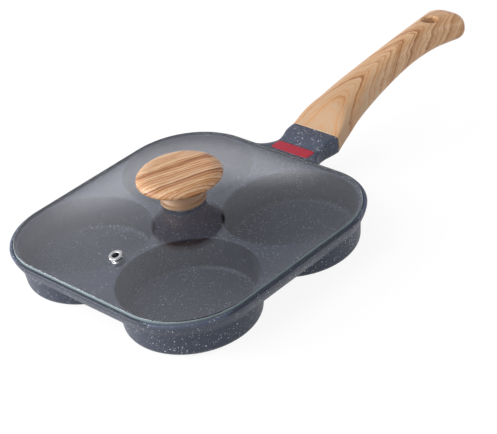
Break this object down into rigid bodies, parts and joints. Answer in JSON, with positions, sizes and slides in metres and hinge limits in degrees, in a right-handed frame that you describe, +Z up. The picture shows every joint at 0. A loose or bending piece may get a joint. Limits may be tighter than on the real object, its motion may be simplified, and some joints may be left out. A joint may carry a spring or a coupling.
{
  "type": "egg pan",
  "caption": "Square egg pan with round cups, a wood-effect handle with a hanging hole, and a domed glass lid that lifts off by a mushroom knob.",
  "frame": {"origin": "under the middle of the whole length, on the surface that the cups stand on", "axes": "+X from the pan along the handle, +Y across the pan, +Z up"},
  "size_m": [0.3972, 0.2, 0.0678],
  "materials": {
    "granite_coat": "cast aluminium under a dark blue-grey non-stick coat with pale flecks",
    "red_silicone": "matt red",
    "wood_moulding": "phenolic moulding with a printed wood grain",
    "clear_glass": "toughened, polished edge",
    "bright_steel": "polished",
    "zinc_steel": "zinc plated",
    "brass": "turned",
    "clear_silicone": "translucent"
  },
  "bodies": {
    "pan": {"pan_body": "granite_coat", "red_inset": "red_silicone", "handle_grip": "wood_moulding", "handle_screw": "zinc_steel", "handle_washer": "zinc_steel"},
    "lid": {"lid_glass": "clear_glass", "vent_eyelet": "bright_steel", "knob": "wood_moulding", "knob_insert": "brass", "knob_gasket": "clear_silicone", "glass_gasket": "clear_silicone", "knob_washer": "zinc_steel", "knob_screw": "zinc_steel"}
  },
  "joints": [
    {"name": "lid_lift", "type": "slide", "parent": "pan", "child": "lid", "axis": [0, 0, 1], "range_m": [0, 0.12]}
  ]
}
